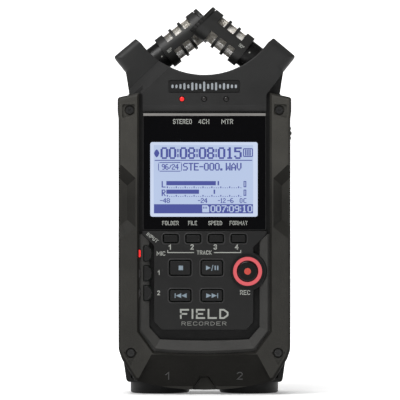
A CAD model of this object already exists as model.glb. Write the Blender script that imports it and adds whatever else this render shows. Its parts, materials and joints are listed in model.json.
import json
import math
import bmesh
import bpy
from mathutils import Matrix, Vector


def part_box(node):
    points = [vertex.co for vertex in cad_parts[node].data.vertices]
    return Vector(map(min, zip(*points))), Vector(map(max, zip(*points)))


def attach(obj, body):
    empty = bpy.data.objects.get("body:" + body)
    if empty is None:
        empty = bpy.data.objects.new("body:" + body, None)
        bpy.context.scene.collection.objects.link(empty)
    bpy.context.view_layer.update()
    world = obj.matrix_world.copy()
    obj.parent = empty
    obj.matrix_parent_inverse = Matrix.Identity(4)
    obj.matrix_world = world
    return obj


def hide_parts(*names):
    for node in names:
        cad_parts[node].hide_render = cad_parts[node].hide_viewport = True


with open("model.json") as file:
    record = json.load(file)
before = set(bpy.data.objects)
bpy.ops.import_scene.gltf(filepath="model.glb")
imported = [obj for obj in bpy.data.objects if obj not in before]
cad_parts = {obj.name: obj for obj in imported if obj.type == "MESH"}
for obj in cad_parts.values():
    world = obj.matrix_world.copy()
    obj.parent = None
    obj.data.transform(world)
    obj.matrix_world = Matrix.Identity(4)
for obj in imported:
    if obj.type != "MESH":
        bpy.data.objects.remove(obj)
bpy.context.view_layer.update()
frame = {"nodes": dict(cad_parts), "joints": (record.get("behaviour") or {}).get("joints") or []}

MM = 0.001
NODES = frame["nodes"]
CAD_JOINTS = {joint["name"]: joint for joint in frame["joints"]}


# ---------------------------------------------------------------- reading the frame
def low(node):
    """Lowest corner of a node in millimetres."""
    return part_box(node)[0] / MM


def high(node):
    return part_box(node)[1] / MM


def centre(node):
    return (low(node) + high(node)) / 2


WINDOW_Y = low("display_window").y
PLATE_Y = low("keypad_plate").y
YOKE_Y = low("yoke_front").y
CAP_Y = low("stop_button").y
ARMOUR_Y = low("rubber_armour").y
SIDE_X = 34.7                # flat sides of the armour, half width
PRINT = 0.03                 # thickness of printed marks
LIFT = 0.012                 # gap between a print and the surface under it
NOISE_MIDDLE = (0.3, 0.7)    # the range that most of a noise texture lies in


# ---------------------------------------------------------------- materials
def socket(node, name, value):
    node.inputs[name].default_value = value


def new_material(name):
    material = bpy.data.materials.new(name)
    material.use_nodes = True
    tree = material.node_tree
    return material, tree, tree.nodes["Principled BSDF"]


def noise(tree, scale, detail=2.0, rough=0.5):
    place = tree.nodes.new("ShaderNodeTexCoord")
    texture = tree.nodes.new("ShaderNodeTexNoise")
    socket(texture, "Scale", scale)
    socket(texture, "Detail", detail)
    socket(texture, "Roughness", rough)
    tree.links.new(place.outputs["Object"], texture.inputs["Vector"])
    return texture.outputs["Fac"]


def coordinate(tree, axis):
    """Object coordinate along one axis, in metres."""
    place = tree.nodes.new("ShaderNodeTexCoord")
    split = tree.nodes.new("ShaderNodeSeparateXYZ")
    tree.links.new(place.outputs["Object"], split.inputs["Vector"])
    return split.outputs[axis]


def stretched(tree, value, from_low, from_high, to_low, to_high):
    """Maps one range of a value to another, clamped at both ends."""
    node = tree.nodes.new("ShaderNodeMapRange")
    for name, bound in (("From Min", from_low), ("From Max", from_high),
                        ("To Min", to_low), ("To Max", to_high)):
        socket(node, name, bound)
    tree.links.new(value, node.inputs["Value"])
    return node.outputs["Result"]


def combined(tree, operation, a, b):
    node = tree.nodes.new("ShaderNodeMath")
    node.operation = operation
    tree.links.new(a, node.inputs[0])
    tree.links.new(b, node.inputs[1])
    return node.outputs["Value"]


def ranged(tree, value, low_value, high_value):
    """Maps the middle of a noise to a small range of values."""
    return stretched(tree, value, *NOISE_MIDDLE, low_value, high_value)


def shaded(tree, value, dark, light):
    ramp = tree.nodes.new("ShaderNodeValToRGB")
    ramp.color_ramp.elements[0].position = NOISE_MIDDLE[0]
    ramp.color_ramp.elements[1].position = NOISE_MIDDLE[1]
    ramp.color_ramp.elements[0].color = (*dark, 1)
    ramp.color_ramp.elements[1].color = (*light, 1)
    tree.links.new(value, ramp.inputs["Fac"])
    return ramp.outputs["Color"]


def bumped(tree, shader, value, strength, depth_mm):
    bump = tree.nodes.new("ShaderNodeBump")
    socket(bump, "Strength", strength)
    socket(bump, "Distance", depth_mm * MM)
    tree.links.new(value, bump.inputs["Height"])
    tree.links.new(bump.outputs["Normal"], shader.inputs["Normal"])


def scaled(colour, factor):
    return tuple(min(1.0, c * factor) for c in colour)


def darker_behind(tree, colours, y_mm):
    """Darkens a colour where the surface lies further back than a depth."""
    fade_mm, black = 0.3, (0.003, 0.003, 0.003, 1)
    mix = tree.nodes.new("ShaderNodeMix")
    mix.data_type = "RGBA"
    fade = stretched(tree, coordinate(tree, "Y"), (y_mm - fade_mm) * MM, y_mm * MM, 0.0, 1.0)
    tree.links.new(fade, mix.inputs["Factor"])
    tree.links.new(colours, mix.inputs["A"])
    mix.inputs["B"].default_value = black
    return mix.outputs["Result"]


def worn_rubber(tree, colours):
    """Rubber that is paler high up, and darker in the grips and where it leans down or sideways.

    Each line maps a range of a normal or of a height or depth in metres to a share of the colour.
    """
    facing = tree.nodes.new("ShaderNodeNewGeometry")
    normal = tree.nodes.new("ShaderNodeSeparateXYZ")
    tree.links.new(facing.outputs["True Normal"], normal.inputs["Vector"])
    down = stretched(tree, normal.outputs["Z"], -0.22, -0.03, 0.36, 1.0)
    side = stretched(tree, normal.outputs["Y"], -0.97, -0.78, 1.0, 0.55)
    deep = stretched(tree, coordinate(tree, "Y"), -0.0178, -0.0165, 1.0, 0.75)
    high_up = stretched(tree, coordinate(tree, "Z"), 0.078, 0.094, 1.0, 1.7)
    shade = combined(tree, "MINIMUM", combined(tree, "MINIMUM", down, side), deep)
    factor = combined(tree, "MULTIPLY", shade, high_up)
    scale = tree.nodes.new("ShaderNodeVectorMath")
    scale.operation = "SCALE"
    tree.links.new(colours, scale.inputs["Vector"])
    tree.links.new(factor, scale.inputs["Scale"])
    return scale.outputs["Vector"], shade


def surface(name, colour, rough, grain=2600.0, bump=0.25, depth=0.03, vary=0.12, metallic=0.0,
            coat=0.0, specular=0.5, deep_below=None, worn=False):
    """Moulded or plated surface: fine grain, slight mottling and uneven gloss.

    Where deep_below is given, faces further back than that Y in millimetres are darker: the
    bottoms of the grooves. A worn surface is the armour's rubber.
    """
    mottle_scale, gloss_scale, gloss_spread, coat_rough = 90.0, 260.0, 0.06, 0.1
    material, tree, shader = new_material(name)
    mottling = noise(tree, mottle_scale, 3.0)
    fine = noise(tree, grain, 3.0, 0.6)
    colours = shaded(tree, mottling, scaled(colour, 1 - vary), scaled(colour, 1 + vary))
    if deep_below is not None:
        colours = darker_behind(tree, colours, deep_below)
    if worn:
        colours, shade = worn_rubber(tree, colours)
        tree.links.new(stretched(tree, shade, 0.0, 1.0, 0.0, specular),
                       shader.inputs["Specular IOR Level"])
    tree.links.new(colours, shader.inputs["Base Color"])
    gloss = ranged(tree, noise(tree, gloss_scale, 4.0), max(0.02, rough - gloss_spread),
                   rough + gloss_spread)
    tree.links.new(gloss, shader.inputs["Roughness"])
    bumped(tree, shader, fine, bump, depth)
    socket(shader, "Metallic", metallic)
    socket(shader, "Specular IOR Level", specular)
    if coat:
        socket(shader, "Coat Weight", coat)
        socket(shader, "Coat Roughness", coat_rough)
    return material


def brushed(name, colour, rough, direction, metallic=1.0):
    """Brushed metal: fine lines along one axis."""
    darkest, lightest, smoother, rougher = 0.8, 1.15, 0.08, 0.1
    material, tree, shader = new_material(name)
    place = tree.nodes.new("ShaderNodeTexCoord")
    stretch = tree.nodes.new("ShaderNodeMapping")
    socket(stretch, "Scale", direction)
    lines = tree.nodes.new("ShaderNodeTexNoise")
    socket(lines, "Scale", 1.0)
    socket(lines, "Detail", 3.0)
    tree.links.new(place.outputs["Object"], stretch.inputs["Vector"])
    tree.links.new(stretch.outputs["Vector"], lines.inputs["Vector"])
    colours = shaded(tree, lines.outputs["Fac"], scaled(colour, darkest), scaled(colour, lightest))
    tree.links.new(colours, shader.inputs["Base Color"])
    tree.links.new(ranged(tree, lines.outputs["Fac"], rough - smoother, rough + rougher),
                   shader.inputs["Roughness"])
    bumped(tree, shader, lines.outputs["Fac"], 0.2, 0.01)
    socket(shader, "Metallic", metallic)
    return material


def glowing(name, colour, strength, base=(0.0, 0.0, 0.0), coat=1.0):
    """Lit display or lamp behind a glossy face, with a slightly uneven backlight."""
    patch_scale, grain_scale = 25.0, 400.0
    material, tree, shader = new_material(name)
    patches = noise(tree, patch_scale, 1.0)
    tree.links.new(shaded(tree, patches, scaled(colour, 0.97), scaled(colour, 1.02)),
                   shader.inputs["Emission Color"])
    tree.links.new(shaded(tree, noise(tree, grain_scale), base, scaled(base, 1.1)),
                   shader.inputs["Base Color"])
    socket(shader, "Emission Strength", strength)
    socket(shader, "Roughness", 0.35)
    socket(shader, "Specular IOR Level", 0.2)
    socket(shader, "Coat Weight", coat)
    socket(shader, "Coat Roughness", 0.04)
    return material


MAT = {
    "armour": surface("armour_rubber", (0.0255, 0.0245, 0.0215), 0.55, 1500, 0.9, 0.14, 0.14,
                      specular=0.2, worn=True),
    "case": surface("case_plastic", (0.013, 0.0128, 0.012), 0.5, 1700, 0.7, 0.09, specular=0.2),
    "front_case": surface("front_case_plastic", (0.033, 0.0325, 0.0305), 0.5, 1700, 0.8, 0.10,
                          specular=0.25, deep_below=-15.9),
    "yoke": surface("yoke_paint", (0.021, 0.021, 0.021), 0.42, 3400, 0.25, 0.02, specular=0.22),
    "keypad": surface("keypad_plastic", (0.0135, 0.0135, 0.0135), 0.42, 3200, 0.2, 0.02,
                      specular=0.2),
    "lip": surface("keypad_lip", (0.034, 0.034, 0.034), 0.42, 3200, 0.1, 0.01, specular=0.25),
    "button": surface("button_plastic", (0.011, 0.011, 0.011), 0.4, 3600, 0.15, 0.015,
                      specular=0.2),
    "track": surface("track_plastic", (0.005, 0.005, 0.005), 0.4, 3600, 0.15, 0.015, specular=0.25),
    "window": surface("window_acrylic", (0.0008, 0.0008, 0.0013), 0.1, 900, 0.01, 0.004,
                      specular=0.08),
    "gloss_black": surface("gloss_black", (0.003, 0.003, 0.003), 0.16, 1500, 0.02, 0.005,
                           specular=0.3),
    "badge": surface("badge_plate", (0.012, 0.012, 0.012), 0.35, 2500, 0.05, 0.005, specular=0.2),
    "stub": surface("stub_plastic", (0.006, 0.006, 0.006), 0.3, 2500, 0.05, 0.01, specular=0.3),
    "dark": surface("socket_dark", (0.006, 0.006, 0.006), 0.5, 2400, 0.2, 0.02, specular=0.2),
    "aluminium": brushed("trim_aluminium", (0.27, 0.262, 0.25), 0.42, (60, 3000, 9000), metallic=0.6),
    "cage": surface("mic_cage_paint", (0.0145, 0.0145, 0.014), 0.42, 2800, 0.3, 0.02, 0.1,
                    specular=0.3),
    "weave": surface("mic_weave", (0.43, 0.405, 0.36), 0.38, 4000, 0.1, 0.01, 0.2, metallic=0.8),
    "capsule": surface("capsule_face", (0.05, 0.048, 0.042), 0.45, 2400, 0.2, 0.01, metallic=0.6),
    "emblem": surface("emblem_metal", (0.50, 0.54, 0.58), 0.3, 1500, 0.05, 0.005, metallic=0.8),
    "steel": brushed("plain_steel", (0.55, 0.55, 0.55), 0.3, (3000, 3000, 200)),
    "nickel": brushed("nickel", (0.6, 0.58, 0.54), 0.22, (2500, 2500, 400)),
    "brass": brushed("brass", (0.62, 0.45, 0.18), 0.28, (2600, 300, 2600)),
    "screw": surface("screw_black", (0.03, 0.03, 0.03), 0.3, 2800, 0.1, 0.01, metallic=0.7),
    "board": surface("board_green", (0.01, 0.05, 0.022), 0.35, 1400, 0.1, 0.02, 0.3),
    "cell": surface("cell_sleeve", (0.10, 0.12, 0.14), 0.3, 1500, 0.05, 0.01, 0.1, metallic=0.4),
    "ring": glowing("rec_ring_light", (0.74, 0.105, 0.125), 0.82, (0.12, 0.03, 0.03), coat=0.2),
    "red_dot": surface("red_print", (0.50, 0.045, 0.028), 0.35, 3000, 0.05, 0.01, coat=0.5),
    "lamp_on": glowing("lamp_red", (1.0, 0.018, 0.018), 1.15, (0.3, 0.01, 0.01), coat=0.3),
    "lamp_off": surface("lamp_off", (0.012, 0.010, 0.010), 0.3, 1500, 0.02, 0.01),
    "lcd_edge": glowing("lcd_edge", (0.60, 0.68, 0.86), 1.0, coat=0.3),
    "lcd_field": glowing("lcd_field", (0.48, 0.575, 0.79), 1.0, coat=0.3),
    "lcd_ink": glowing("lcd_ink", (0.066, 0.083, 0.33), 1.0, coat=0.3),
    "print": surface("label_print", (0.33, 0.34, 0.315), 0.5, 3000, 0.05, 0.01),
    "print_thin": surface("small_print", (0.22, 0.225, 0.21), 0.5, 3000, 0.05, 0.01),
    "print_blue": surface("icon_print", (0.21, 0.27, 0.32), 0.5, 3000, 0.05, 0.01),
    "print_dim": surface("moulded_mark", (0.03, 0.03, 0.03), 0.4, 3000, 0.1, 0.01),
}

NODE_MATERIAL = {
    "rubber_armour": "armour", "card_door": "armour", "front_shell": "front_case", "rear_shell": "case",
    "battery_cover": "case", "keypad_plate": "keypad", "dial_wheel": "button",
    "dial_carriage": "dark", "menu_button": "button", "power_switch": "button",
    "rec_button": "gloss_black",
    "hinge_pins": "steel", "rec_level_rocker": "button", "volume_rocker": "button",
    "rec_collar": "gloss_black", "rec_light_ring": "ring",
    "display_window": "window", "lcd_panel": "dark", "window_trim_strip": "aluminium",
    "indicator_leds": "lamp_off", "yoke_front": "yoke", "yoke_rear": "yoke",
    "yoke_badge": "badge", "front_screws": "screw", "rear_screws": "screw", "cells": "cell",
    "battery_contacts": "nickel", "main_board": "board", "key_board": "board",
    "switches": "steel", "tripod_bush": "brass", "mini_jacks": "gloss_black", "speaker": "dark",
    "card_socket": "nickel", "memory_card": "dark", "usb_port": "nickel",
    "jack_1_shroud": "dark", "jack_2_shroud": "dark", "jack_1_nose": "dark", "jack_2_nose": "dark",
}
for mic in ("mic_left", "mic_right"):
    NODE_MATERIAL[mic + "_cage"] = "cage"
    NODE_MATERIAL[mic + "_mesh"] = "weave"
    NODE_MATERIAL[mic + "_capsule"] = "capsule"
    NODE_MATERIAL[mic + "_stub"] = "stub"
for name in NODES:
    if name.endswith("_button"):
        NODE_MATERIAL.setdefault(name, "track" if name.startswith("track") else "button")
for name, node in NODES.items():
    node.data.materials.clear()
    node.data.materials.append(MAT[NODE_MATERIAL[name]])


# ---------------------------------------------------------------- making pieces
def piece(name, bm, material, body):
    """Turns a bmesh in millimetres into a piece that rides on a body."""
    bmesh.ops.scale(bm, vec=(MM, MM, MM), verts=bm.verts)
    bmesh.ops.recalc_face_normals(bm, faces=bm.faces)
    mesh = bpy.data.meshes.new(name)
    bm.to_mesh(mesh)
    bm.free()
    made = bpy.data.objects.new(name, mesh)
    bpy.context.scene.collection.objects.link(made)
    mesh.materials.append(MAT[material])
    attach(made, body)
    return made


def prism(bm, corners, y_front, y_back):
    """A closed prism from an XZ outline."""
    front = [bm.verts.new((x, y_front, z)) for x, z in corners]
    back = [bm.verts.new((x, y_back, z)) for x, z in corners]
    bm.faces.new(front)
    bm.faces.new(back[::-1])
    for i in range(len(corners)):
        j = (i + 1) % len(corners)
        bm.faces.new((front[i], front[j], back[j], back[i]))


def rectangle(x0, x1, z0, z1):
    return [(x0, z0), (x1, z0), (x1, z1), (x0, z1)]


def rounded(x0, x1, z0, z1, radius, steps=6):
    """Outline of a rectangle with round corners."""
    corners = []
    for cx, cz, start in ((x1 - radius, z0 + radius, -90), (x1 - radius, z1 - radius, 0),
                          (x0 + radius, z1 - radius, 90), (x0 + radius, z0 + radius, 180)):
        for i in range(steps + 1):
            angle = math.radians(start + 90 * i / steps)
            corners.append((cx + radius * math.cos(angle), cz + radius * math.sin(angle)))
    return corners


def disc(x, z, radius, sides=48):
    return [(x + radius * math.cos(2 * math.pi * i / sides),
             z + radius * math.sin(2 * math.pi * i / sides)) for i in range(sides)]


def hoop(bm, loops):
    """A closed ring skinned over XZ outlines at their own Y, all with the same number of corners."""
    rows = [[bm.verts.new((x, y, z)) for x, z in corners] for corners, y in loops]
    for a, b in zip(rows, rows[1:] + rows[:1]):
        for i in range(len(a)):
            j = (i + 1) % len(a)
            bm.faces.new((a[i], a[j], b[j], b[i]))


def rim(bm, outer, inner, y_front, y_back):
    """A closed flat ring between two outlines."""
    hoop(bm, ((outer, y_front), (inner, y_front), (inner, y_back), (outer, y_back)))


def marks(name, shapes, y_front, material, body, thickness=PRINT):
    """Flat printed shapes on a front surface."""
    bm = bmesh.new()
    for corners in shapes:
        prism(bm, corners, y_front - LIFT - thickness, y_front - LIFT)
    piece(name, bm, material, body)


# Letters as strokes through points. Each point is two digits: steps across, and steps up from 0 to 6.
STROKES = {
    "A": "00 26 40|12 32", "B": "00 06 36 45 44 33 03|33 42 41 30 00", "C": "45 36 16 05 01 10 30 41",
    "D": "00 06 26 44 42 20 00", "E": "46 06 00 40|03 33", "F": "46 06 00|03 33",
    "H": "00 06|40 46|03 43", "I": "00 06",
    "K": "00 06|46 02|13 40", "L": "06 00 40", "M": "00 06 32 66 60", "N": "00 06 40 46",
    "O": "10 30 41 45 36 16 05 01 10", "P": "00 06 36 45 44 33 03", "R": "00 06 36 45 44 33 03|23 40",
    "S": "45 36 16 05 04 13 33 42 41 30 10 01", "T": "06 46|26 20", "U": "06 01 10 30 41 46",
    "V": "06 20 46", "W": "06 10 34 50 66",
    "0": "10 30 41 45 36 16 05 01 10", "1": "04 26 20", "2": "05 16 36 45 44 00 40",
    "3": "05 16 36 45 44 33 42 41 30 10 01|23 33", "4": "30 36 02 42", "/": "00 46", "-": "03 33",
    "9": "01 10 30 41 45 36 16 05 04 13 43", "*": "05 16 25 14 05",
}
LETTER_GAP, WORD_GAP, LETTER_TALL = 2.3, 5.5, 6      # in the same steps


def ribbon(bm, points, width, low_w, high_w):
    """A flat closed strip of even width along points, mitred at the corners."""
    closed = (points[0] - points[-1]).length < 1e-6
    if closed:
        points = points[:-1]
    count = len(points)
    left, right = [], []
    for i, p in enumerate(points):
        before = (p - points[i - 1]).normalized() if closed or i > 0 else None
        after = (points[(i + 1) % count] - p).normalized() if closed or i < count - 1 else None
        before, after = before or after, after or before
        along = (before + after).normalized()
        reach = min(width / 2 / max(along.dot(after), 0.4), width)
        side = Vector((-along.y, along.x)) * reach
        cap = Vector((0, 0))
        if not closed and i in (0, count - 1):
            cap = along * width / 2 * (-1 if i == 0 else 1)
        left.append(p + side + cap)
        right.append(p - side + cap)
    rows = [[bm.verts.new((a.x, a.y, w)) for a, w in
             ((l, high_w), (r, high_w), (r, low_w), (l, low_w))] for l, r in zip(left, right)]
    pairs = list(zip(rows, rows[1:])) + ([(rows[-1], rows[0])] if closed else [])
    for a, b in pairs:
        for k in range(4):
            bm.faces.new((a[k], a[(k + 1) % 4], b[(k + 1) % 4], b[k]))
    if not closed:
        bm.faces.new(rows[0][::-1])
        bm.faces.new(rows[-1])


def lettering(words, width, height, stroke, depth):
    """Drawn letters centred on the origin in a flat frame: right, up, outwards."""
    paths, cursor = [], 0.0
    for character in words:
        if character == " ":
            cursor += WORD_GAP - LETTER_GAP
            continue
        lines = [[Vector((int(pair[0]), int(pair[1]))) for pair in line.split()]
                 for line in STROKES[character].split("|")]
        for line in lines:
            paths.append([p + Vector((cursor, 0)) for p in line])
        cursor += max(p.x for line in lines for p in line) + LETTER_GAP
    span = max(cursor - LETTER_GAP, 1e-6)
    across = (width - stroke) / span if span > 0.1 else 0.0
    up = (height - stroke) / LETTER_TALL
    bm = bmesh.new()
    for path in paths:
        flat = [Vector(((p.x - span / 2) * across, (p.y - LETTER_TALL / 2) * up)) for p in path]
        ribbon(bm, flat, stroke, LIFT, LIFT + depth)
    return bm


def flat_frame(place, normal):
    """Matrix from (right, up, outwards) to the model, seen from the side the normal points to."""
    outwards = Vector(normal)
    right = Vector((0, 0, 1)).cross(outwards)
    turn = Matrix((right, Vector((0, 0, 1)), outwards)).transposed().to_4x4()
    return Matrix.Translation(Vector(place)) @ turn


FACING = {"front": (0, -1, 0), "right": (1, 0, 0), "left": (-1, 0, 0)}


def label(name, words, x, z, height, width, surface_at, material,
          turn=0.0, depth=PRINT, facing="front", stroke=0.3, lean=0.0):
    """Printed or moulded words on a flat side of the object, centred on a point."""
    bm = lettering(words, width, height, stroke, depth)
    place = (x, surface_at, z) if facing == "front" else (surface_at, x, z)
    bm.transform(flat_frame(place, FACING[facing]) @ Matrix.Rotation(math.radians(lean), 4, "X")
                 @ Matrix.Rotation(math.radians(turn), 4, "Z"))
    piece(name, bm, material, "root")


# ---------------------------------------------------------------- display
FIELD = (-20.5, 19.7, 73.3, 100.9)       # active area: x0, x1, z0, z1
# Dot-matrix characters, rows from the top, with # for a dark dot.
GLYPHS = {
    "0": ".###./#...#/#...#/#...#/#...#/#...#/.###.", "1": "..#../.##../..#../..#../..#../..#../.###.",
    "2": ".###./#...#/....#/..##./.#.../#..../#####",
    "4": "...#./..##./.#.#./#..#./#####/...#./...#.", "5": "#####/#..../####./....#/....#/#...#/.###.",
    "6": ".###./#..../#..../####./#...#/#...#/.###.", "7": "#####/....#/...#./..#../..#../.#.../.#...",
    "8": ".###./#...#/#...#/.###./#...#/#...#/.###.", "9": ".###./#...#/#...#/.####/....#/....#/.###.",
    ":": "./#/#/./#/#/.", "/": "..../...#/..#./..#./.#../#.../....",
    "-": "..../..../..../####/..../..../....", ".": "../../../../../##/##",
    "S": ".####/#..../#..../.###./....#/....#/####.", "T": "#####/..#../..#../..#../..#../..#../..#..",
    "E": "#####/#..../#..../####./#..../#..../#####", "W": "#...#/#...#/#...#/#.#.#/#.#.#/##.##/#...#",
    "A": "..#../.#.#./#...#/#...#/#####/#...#/#...#", "V": "#...#/#...#/#...#/#...#/#...#/.#.#./..#..",
    "L": "#..../#..../#..../#..../#..../#..../#####", "R": "####./#...#/#...#/####./#.#../#..#./#...#",
    "C": ".####/#..../#..../#..../#..../#..../.####", " ": ".././././././.",
}
GLYPH_ROWS = 7


def pixel_words(words, x0, x1, z0, z1, bold=0.0):
    """Rectangles of a dot-matrix line of characters that fills a box."""
    glyphs = [GLYPHS[character].split("/") for character in words]
    columns = sum(len(glyph[0]) + 1 for glyph in glyphs) - 1
    step_x, step_z = (x1 - x0) / columns, (z1 - z0) / GLYPH_ROWS
    shapes, cursor = [], 0
    for glyph in glyphs:
        swell = bold if len(glyph[0]) > 1 else 0.0
        for row, line in enumerate(glyph):
            start = None
            for column, cell in enumerate(line + "."):
                if cell == "#" and start is None:
                    start = column
                if cell != "#" and start is not None:
                    top = z1 - row * step_z
                    shapes.append(rectangle(x0 + (cursor + start - swell) * step_x,
                                            x0 + (cursor + column + swell) * step_x, top - step_z, top))
                    start = None
        cursor += len(glyph[0]) + 1
    return shapes


def frame_lines(x0, x1, z0, z1, line, cut=0.0):
    """Four sides of a box, with its corners left open by a cut."""
    return [rectangle(x0 + cut, x1 - cut, z0, z0 + line), rectangle(x0 + cut, x1 - cut, z1 - line, z1),
            rectangle(x0, x0 + line, z0 + cut, z1 - cut), rectangle(x1 - line, x1, z0 + cut, z1 - cut)]


def display_header():
    """Record mark, clock and battery over a rule."""
    x0, x1, z1 = FIELD[0], FIELD[1], FIELD[3]
    top = z1 - 0.9
    middle = top - 2.45
    mark = ((0.1, 0.0), (0.5, 0.95), (1.0, 1.55), (1.4, 1.55), (1.9, 0.95), (2.3, 0.0))
    shapes = [[(x0 + dx, middle - dz) for dx, dz in mark]
              + [(x0 + dx, middle + dz) for dx, dz in mark[-2:0:-1]]]
    shapes += pixel_words("00:08:08:015", x0 + 2.9, x1 - 4.8, top - 4.7, top, bold=0.3)
    shapes.append(rectangle(x0 + 0.4, x1 - 0.4, top - 5.45, top - 5.1))
    shapes += frame_lines(x1 - 4.1, x1 - 0.1, z1 - 4.8, z1 - 1.3, 0.4, 0.2)
    for i in range(3):
        left = x1 - 3.25 + i * 0.85
        shapes.append(rectangle(left, left + 0.52, top - 3.4, top - 0.9))
    return shapes


def display_file_line():
    x0, z1 = FIELD[0], FIELD[3]
    middle = z1 - 8.8
    shapes = frame_lines(x0 + 1.8, x0 + 11.4, middle - 1.9, middle + 1.9, 0.3, 0.6)
    for dx in (1.95, 11.0):
        for dz in (-1.7, 1.45):
            shapes.append(rectangle(x0 + dx, x0 + dx + 0.3, middle + dz, middle + dz + 0.3))
    shapes += pixel_words("96/24", x0 + 3.3, x0 + 10.0, middle - 1.15, middle + 1.15, bold=0.34)
    shapes += pixel_words("STE-000. WAV", x0 + 11.9, x0 + 35.4, middle - 1.5, middle + 1.6, bold=0.24)
    return shapes


def display_meters():
    """Two level bars with peak marks, tick lines and the scale under them."""
    x0, z1 = FIELD[0], FIELD[3]
    left, thick, peak_half = x0 + 5.1, 1.7, 0.3
    ticks, tick_step, tick_wide, tick_low = 34, 0.9, 0.42, 2.85
    shapes = []
    for letter, bar_top, length, peak in (("L", z1 - 14.55, 20.0, 21.0), ("R", z1 - 18.0, 13.2, 19.4)):
        shapes += pixel_words(letter, x0 + 3.3, x0 + 4.7, bar_top - 2.6, bar_top, bold=0.35)
        shapes.append(rectangle(left, left + length, bar_top - thick, bar_top))
        shapes.append(rectangle(left + peak - peak_half, left + peak + peak_half, bar_top - thick, bar_top))
        for tick in range(ticks):
            x = left + 0.2 + tick * tick_step
            tall = 0.7 if tick % 4 == 0 else 0.25
            shapes.append(rectangle(x, x + tick_wide, bar_top - tick_low, bar_top - tick_low + tall))
        shapes += frame_lines(x0 + 36.3, x0 + 37.4, bar_top - 2.5, bar_top, 0.36)
    low_z = z1 - 23.4
    for words, dx, width in (("-48", 2.6, 3.9), ("-24", 17.9, 3.7), ("-12", 26.0, 3.0),
                             ("-6", 29.8, 2.4), ("0", 34.8, 1.0), ("C", 36.3, 1.1)):
        shapes += pixel_words(words, x0 + dx, x0 + dx + width, low_z, low_z + 1.95, bold=0.34)
    return shapes


def build_display():
    x0, x1, z0, z1 = FIELD
    marks("lcd_border", [rounded(x0 - 1.4, x1 + 1.8, z0 - 1.35, z1 + 1.2, 0.9)], WINDOW_Y, "lcd_edge",
          "root")
    marks("lcd_field", [rectangle(x0, x1, z0, z1)], WINDOW_Y - PRINT - LIFT, "lcd_field", "root")
    ink = WINDOW_Y - 2 * (PRINT + LIFT)
    bar = rectangle(x0 + 0.1, x1 - 0.1, z0, z0 + 3.7)
    shapes = display_header() + display_file_line() + display_meters() + [bar]
    marks("lcd_ink", shapes, ink, "lcd_ink", "root")
    inverse = pixel_words("007:09:10", x0 + 23.0, x1 - 0.4, z0 + 0.45, z0 + 3.25, bold=0.2)
    card = [(x0 + 19.6, z0 + 0.4), (x0 + 22.4, z0 + 0.4), (x0 + 22.4, z0 + 2.5),
            (x0 + 21.7, z0 + 3.3), (x0 + 19.6, z0 + 3.3)]
    marks("lcd_counter", inverse + [card], ink - PRINT - LIFT, "lcd_field", "root")
    contacts = [rectangle(x0 + 20.0 + i * 0.6, x0 + 20.3 + i * 0.6, z0 + 1.9, z0 + 2.7)
                for i in range(3)]
    marks("lcd_card_icon", contacts, ink - 2 * (PRINT + LIFT), "lcd_ink", "root")
    a, b = low("display_window"), high("display_window")
    wide, corner = 0.35, 0.55
    bm = bmesh.new()
    rim(bm, rounded(a.x - wide, b.x + wide, a.z - wide, b.z + wide, corner + wide),
        rounded(a.x, b.x, a.z, b.z, corner), WINDOW_Y + 0.1, WINDOW_Y + 1.0)
    piece("window_rim", bm, "keypad", "root")


# ---------------------------------------------------------------- printed labels and icons
def build_labels():
    for words, x, width in (("STEREO", -8.9, 7.6), ("4CH", -0.25, 4.4), ("MTR", 9.2, 4.7)):
        label("label_" + words.lower(), words, x, 110.4, 1.95, width, WINDOW_Y, "print",
              stroke=0.27)
    for words, x, width in (("FOLDER", -13.75, 6.7), ("FILE", -4.8, 3.6), ("SPEED", 4.35, 5.6),
                            ("FORMAT", 13.8, 7.3)):
        label("label_" + words.lower(), words, x, 69.4, 1.7, width, WINDOW_Y, "print",
              stroke=0.24)
    for number, x, width in ((1, -14.0, 0.95), (2, -5.0, 1.35), (3, 4.35, 1.35), (4, 13.05, 1.45)):
        label(f"label_track_{number}", str(number), x, 59.75, 2.2, width, PLATE_Y, "print", stroke=0.42)
    label("label_track", "TRACK", -0.1, 57.5, 1.65, 6.0, PLATE_Y, "print", stroke=0.26)
    brackets = []
    for x0, x1, end in ((-15.0, -4.2, -15.0), (3.8, 14.8, 14.5)):
        brackets.append(rectangle(x0, x1, 57.3, 57.65))
        brackets.append(rectangle(end, end + 0.3, 57.65, 58.5))
    marks("label_bracket", brackets, PLATE_Y, "print", "root")
    label("label_input", "INPUT", -21.0, 63.5, 1.45, 5.3, PLATE_Y, "print", turn=-38, stroke=0.25)
    label("label_mic", "MIC", -17.55, 57.1, 1.8, 3.5, PLATE_Y, "print", stroke=0.27)
    label("label_input_1", "1", -18.5, 49.4, 1.95, 0.8, PLATE_Y, "print", stroke=0.32)
    label("label_input_2", "2", -18.5, 41.2, 1.85, 1.1, PLATE_Y, "print", stroke=0.3)
    label("label_rec", "REC", 16.4, 41.35, 1.9, 4.1, PLATE_Y, "print", stroke=0.3)
    label("title_main", "FIELD", -0.1, 32.7, 4.0, 19.6, PLATE_Y, "print", stroke=0.68)
    label("title_small", "RECORDER", -0.2, 28.8, 1.55, 18.1, PLATE_Y, "print_thin", stroke=0.2)


def triangle(x, z, half, width):
    """A triangle pointing right if the width is positive."""
    return [(x, z - half), (x + width, z), (x, z + half)]


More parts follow.
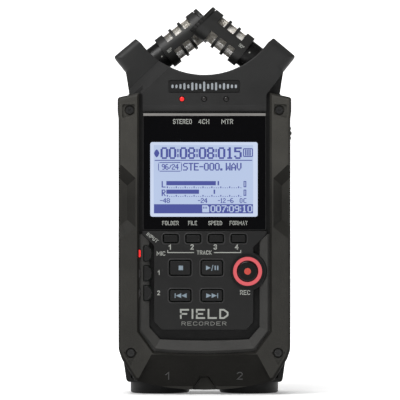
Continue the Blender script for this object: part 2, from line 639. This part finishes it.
def build_icons():
    """Transport marks, each on its own key."""
    shapes = {}
    at = centre("stop_button")
    shapes["stop"] = [rectangle(at.x - 0.65, at.x + 1.15, at.z - 0.9, at.z + 0.9)]
    at = centre("play_button")
    shapes["play"] = [triangle(at.x - 2.4, at.z, 0.95, 1.9),
                      [(at.x - 0.3, at.z - 1.2), (at.x, at.z - 1.2), (at.x + 0.6, at.z + 1.2),
                       (at.x + 0.3, at.z + 1.2)],
                      rectangle(at.x + 1.1, at.x + 1.6, at.z - 0.9, at.z + 0.9),
                      rectangle(at.x + 2.1, at.x + 2.6, at.z - 0.9, at.z + 0.9)]
    for name, way, shift in (("rewind", -1, 0.3), ("forward", 1, 0.0)):
        at = centre(name + "_button") + Vector((shift, 0, 0))
        bar = sorted((at.x + way * 2.15, at.x + way * 2.5))
        shapes[name] = [triangle(at.x - way * 2.3, at.z, 0.95, way * 2.1),
                        triangle(at.x - way * 0.1, at.z, 0.95, way * 2.1),
                        rectangle(bar[0], bar[1], at.z - 0.95, at.z + 0.95)]
    for name, corners in shapes.items():
        marks(name + "_icon", corners, CAP_Y, "print_blue", name + "_button")
    at = centre("rec_button")
    marks("rec_icon", [disc(at.x, at.z, 1.36)], CAP_Y + 0.25, "red_dot", "rec_button",
          thickness=0.2)


def build_key_lips():
    """Low moulded lip on the keypad round each opening of the front keys."""
    keys = ["stop", "play", "rewind", "forward"] + [f"track_{number}" for number in range(1, 5)]
    inner, outer, tall, key_corner = 0.5, 0.95, 0.12, 0.5
    section = ((outer, PLATE_Y), (outer - 0.15, PLATE_Y - tall), (inner + 0.1, PLATE_Y - tall),
               (inner, PLATE_Y))
    for key in keys:
        a, b = low(key + "_button"), high(key + "_button")
        bm = bmesh.new()
        hoop(bm, [(rounded(a.x - grow, b.x + grow, a.z - grow, b.z + grow, key_corner + grow), y)
                  for grow, y in section])
        piece(key + "_lip", bm, "lip", "root")


def build_emblem():
    """Generic mark on the badge plate: a row of bars like a sound wave."""
    at = centre("yoke_badge")
    count, wide, bar_half, corner = 17, 25.6, 0.42, 0.4
    shapes = []
    for i in range(count):
        phase = (i - (count - 1) / 2) / (count / 2)
        swell = math.cos(phase * math.pi / 2) * (0.6 + 0.4 * math.cos(i * math.pi * 0.75))
        tall = 0.6 + 1.35 * swell
        x = at.x - wide / 2 + wide * i / (count - 1)
        shapes.append(rounded(x - bar_half, x + bar_half, at.z - tall, at.z + tall, corner, 4))
    marks("badge_emblem", shapes, low("yoke_badge").y, "emblem", "root", thickness=0.15)


# ---------------------------------------------------------------- lamps
def dome(bm, x, y, z, radius, bulge):
    """Domed lens facing the front, closed at the back."""
    rings, sides, deep = 6, 32, 1.0
    rows = []
    for ring in range(rings):
        angle = math.pi / 2 * ring / rings
        rows.append([bm.verts.new((px, y - bulge * math.sin(angle), pz))
                     for px, pz in disc(x, z, radius * math.cos(angle), sides)])
    top = bm.verts.new((x, y - bulge, z))
    back = [bm.verts.new((px, y + deep, pz)) for px, pz in disc(x, z, radius, sides)]
    rows.insert(0, back)
    for a, b in zip(rows, rows[1:]):
        for i in range(sides):
            j = (i + 1) % sides
            bm.faces.new((a[i], a[j], b[j], b[i]))
    for i in range(sides):
        bm.faces.new((rows[-1][i], rows[-1][(i + 1) % sides], top))
    bm.faces.new(back[::-1])


def build_lamps():
    """Three mode lamps on the yoke and three input lamps; the first of each is lit."""
    lens, bezel, bulge, z = 0.88, 1.25, 0.3, 119.5
    for number, x in enumerate((-9.1, -0.1, 8.8), start=1):
        bm = bmesh.new()
        dome(bm, x, YOKE_Y + bulge, z, lens, bulge)
        lit = number == 1
        made = piece(f"mode_lamp_{number}", bm, "lamp_on" if lit else "lamp_off", "root")
        for face in made.data.polygons:
            face.use_smooth = True
        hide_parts("indicator_leds")
        bm = bmesh.new()
        rim(bm, disc(x, z, bezel), disc(x, z, lens), YOKE_Y + 0.1, YOKE_Y + 0.9)
        piece(f"mode_lamp_{number}_bezel", bm, "gloss_black", "root")
    y, x0, x1, half_tall, deep = low("indicator_leds").y, -26.7, -25.8, 1.45, 1.5
    for name in ("mic", "1", "2"):
        z = centre(f"input_{name}_button").z
        bm = bmesh.new()
        prism(bm, rounded(x0, x1, z - half_tall, z + half_tall, 0.4), y, y + deep)
        lit = name == "mic"
        made = piece(f"input_lamp_{name}", bm, "lamp_on" if lit else "lamp_off", "root")
        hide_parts("indicator_leds")


# ---------------------------------------------------------------- microphones
def mic_frame(side):
    """Matrix from a microphone's own frame, in mm with its tip at z = 0, to the model."""
    joint = CAD_JOINTS[f"mic_{side}_turn"]
    axis = Vector(joint["axis"]).normalized()
    across = Vector((0, 1, 0))
    up = across.cross(axis)
    turn = Matrix((up, across, axis)).transposed().to_4x4()
    return Matrix.Translation(Vector(joint["pos_m"]) / MM) @ turn


def wire(bm, points, radius, sides=4):
    """A thin round wire through points."""
    rows, side = [], None
    for i, p in enumerate(points):
        ahead = (points[min(i + 1, len(points) - 1)] - points[max(i - 1, 0)]).normalized()
        if side is None:
            side = ahead.orthogonal().normalized()
        else:
            side = (side - ahead * side.dot(ahead)).normalized()
        other = ahead.cross(side)
        rows.append([bm.verts.new(p + (side * math.cos(a) + other * math.sin(a)) * radius)
                     for a in (2 * math.pi * k / sides for k in range(sides))])
    for a, b in zip(rows, rows[1:]):
        for k in range(sides):
            bm.faces.new((a[k], a[(k + 1) % sides], b[(k + 1) % sides], b[k]))
    bm.faces.new(rows[0][::-1])
    bm.faces.new(rows[-1])


def build_weave(side):
    """Woven wire sleeve inside the cage: two crossing families of helical wires."""
    radius, start, end, strands = 5.68, -18.5, -6.0, 46
    steps, twist, ripple, thick = 12, 1.9, 0.05, 0.1
    bm = bmesh.new()
    for way in (-1, 1):
        for strand in range(strands):
            points = []
            for step in range(steps + 1):
                share = step / steps
                angle = 2 * math.pi * strand / strands + way * share * twist
                reach = radius + way * ripple * (1 if (step + strand) % 2 else -1)
                points.append(Vector((reach * math.cos(angle), reach * math.sin(angle),
                                      start + (end - start) * share)))
            wire(bm, points, thick)
    bm.transform(mic_frame(side))
    made = piece(f"mic_{side}_weave", bm, "weave", f"mic_{side}")
    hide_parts(f"mic_{side}_mesh")


def build_end_grille(side):
    """Flat woven grid over the slanted end of a microphone."""
    reach, pitch, thick, z_across, z_along = 5.5, 0.62, 0.11, -0.72, -0.60
    tilt = math.radians(7.5)
    bm = bmesh.new()
    count = int(reach / pitch)
    for i in range(-count, count + 1):
        offset = i * pitch
        half = math.sqrt(reach ** 2 - offset ** 2)
        wire(bm, [Vector((-half, offset, z_across)), Vector((half, offset, z_across))], thick)
        wire(bm, [Vector((offset, -half, z_along)), Vector((offset, half, z_along))], thick)
    bm.transform(mic_frame(side) @ Matrix.Rotation(tilt if side == "right" else -tilt, 4, "Y"))
    piece(f"mic_{side}_end_weave", bm, "weave", f"mic_{side}")


def build_mic_marks(side):
    """Angle mark on the collar and index dot on the stub, wrapped round the barrel."""
    along, lift = (-1, 0.9) if side == "right" else (1, -0.45)
    for name, words, radius, place, size, stroke in (("angle", "90*", 6.9, -19.9, (2.3, 1.3), 0.19),
                                                     ("dot", "-", 5.75, -24.0, (0.6, 0.6), 0.5)):
        bm = lettering(words, *size, stroke, 0.04)
        for vert in bm.verts:
            u, v, w = vert.co
            angle = math.radians(-90) - along * (v + lift) / radius
            reach = radius + w
            vert.co = (reach * math.cos(angle), reach * math.sin(angle), place + along * u)
        bm.transform(mic_frame(side))
        piece(f"mic_{side}_{name}", bm, "print", f"mic_{side}")


build_display()
build_labels()
build_icons()
build_key_lips()
build_emblem()
build_lamps()
for mic_side in ("left", "right"):
    build_weave(mic_side)
    build_end_grille(mic_side)
    build_mic_marks(mic_side)


# ---------------------------------------------------------------- marks on the case
def build_case_marks():
    lean, hinge_z, z = 13.0, 16.4, 7.7       # the middle of the chin leans back under this height
    surface_at = ARMOUR_Y + (hinge_z - z) * math.tan(math.radians(lean))
    for number, x in ((1, -15.0), (2, 14.3)):
        label(f"chin_number_{number}", str(number), x, z, 3.2, 1.5 if number == 1 else 2.3,
              surface_at, "print_dim", depth=0.15, stroke=0.4, lean=lean)
    side_marks = (
        ("right", "MENU", centre("menu_button").z + 5.6, 4.6),
        ("right", "REC LEVEL", centre("rec_level_rocker").z + 10.0, 8.8),
        ("left", "VOLUME", centre("volume_rocker").z + 10.2, 6.6),
        ("left", "POWER", centre("power_switch").z + 7.2, 5.6),
        ("left", "HOLD", centre("power_switch").z - 7.0, 4.4),
        ("left", "REMOTE", 99.2, 6.6), ("left", "LINE/PHONE", 88.6, 9.6), ("left", "USB", 46.0, 3.2))
    for facing, words, z, width in side_marks:
        label("mark_" + words.split("/")[0].replace(" ", "_").lower(), words, -2.0, z, 1.4, width,
              SIDE_X if facing == "right" else -SIDE_X, "print_thin",
              facing=facing, stroke=0.24)


build_case_marks()


# ---------------------------------------------------------------- stage, light and camera
def build_stage():
    """Round pale floor that curves up into a low wall on all sides; sizes here are in metres."""
    material, tree, shader = new_material("backdrop")
    pale = shaded(tree, noise(tree, 2.0, 1.0), (0.93, 0.93, 0.93), (0.95, 0.95, 0.95))
    tree.links.new(pale, shader.inputs["Emission Color"])
    socket(shader, "Roughness", 0.9)
    socket(shader, "Specular IOR Level", 0.1)
    y = coordinate(tree, "Y")
    behind = stretched(tree, y, 0.0, 0.3, 0.25, 0.95)
    in_front = stretched(tree, y, -0.8, -0.1, 0.5, 0.25)
    tree.links.new(stretched(tree, y, -0.5, -0.06, 0.2, 0.94), shader.inputs["Base Color"])
    tree.links.new(combined(tree, "MAXIMUM", behind, in_front), shader.inputs["Emission Strength"])
    flat, bend, top, sides, flat_steps, bend_steps = 2.2, 0.8, 1.2, 96, 8, 12
    profile = [(flat * (step / flat_steps) ** 2, 0.0) for step in range(1, flat_steps + 1)]
    for step in range(1, bend_steps + 1):
        angle = math.radians(90 * step / bend_steps)
        profile.append((flat + bend * math.sin(angle), bend * (1 - math.cos(angle))))
    profile.append((flat + bend, top))
    bm = bmesh.new()
    rows = [[bm.verts.new((px, py, z)) for px, py in disc(0.0, 0.0, radius, sides)]
            for radius, z in profile]
    bm.faces.new(rows[0])
    for a, b in zip(rows, rows[1:]):
        for i in range(sides):
            j = (i + 1) % sides
            bm.faces.new((a[i], b[i], b[j], a[j]))
    mesh = bpy.data.meshes.new("backdrop")
    bm.to_mesh(mesh)
    bm.free()
    for face in mesh.polygons:
        face.use_smooth = True
    mesh.materials.append(material)
    made = bpy.data.objects.new("backdrop", mesh)
    bpy.context.scene.collection.objects.link(made)


def area_light(name, place, target, size, watts):
    light = bpy.data.lights.new(name, "AREA")
    light.shape = "RECTANGLE"
    light.size, light.size_y = size
    light.energy = watts
    made = bpy.data.objects.new(name, light)
    made.location = place
    made.rotation_euler = (Vector(target) - Vector(place)).to_track_quat("-Z", "Y").to_euler()
    bpy.context.scene.collection.objects.link(made)


def build_light():
    world = bpy.data.worlds.new("studio")
    world.use_nodes = True
    background = world.node_tree.nodes["Background"]
    socket(background, "Color", (1.0, 0.99, 0.97, 1.0))
    socket(background, "Strength", 0.08)
    bpy.context.scene.world = world
    middle = (0, 0, 0.09)
    area_light("key", (-0.2, -0.4, 0.62), middle, (0.5, 0.35), 4.7)
    area_light("top", (0.0, 0.15, 0.9), middle, (0.6, 0.3), 3.0)
    area_light("edge_left", (-0.8, 0.05, 0.3), middle, (0.15, 0.5), 0.5)
    area_light("edge_right", (0.8, 0.05, 0.3), middle, (0.15, 0.5), 0.5)
    bpy.context.scene.view_settings.view_transform = "Standard"


def build_camera():
    """Straight-on camera; its field is 162.3 mm wide a little behind the front face."""
    distance, field, sensor = 1.5, 0.1623, 36.0
    camera = bpy.data.cameras.new("camera")
    camera.sensor_width = sensor
    camera.lens = sensor * distance / field
    camera.clip_start, camera.clip_end = 0.05, 20.0
    made = bpy.data.objects.new("camera", camera)
    made.location = (-1.8 * MM, -0.010 - distance, 78.7 * MM)
    made.rotation_euler = (math.radians(90), 0, 0)
    bpy.context.scene.collection.objects.link(made)
    bpy.context.scene.camera = made


build_stage()
build_light()
build_camera()
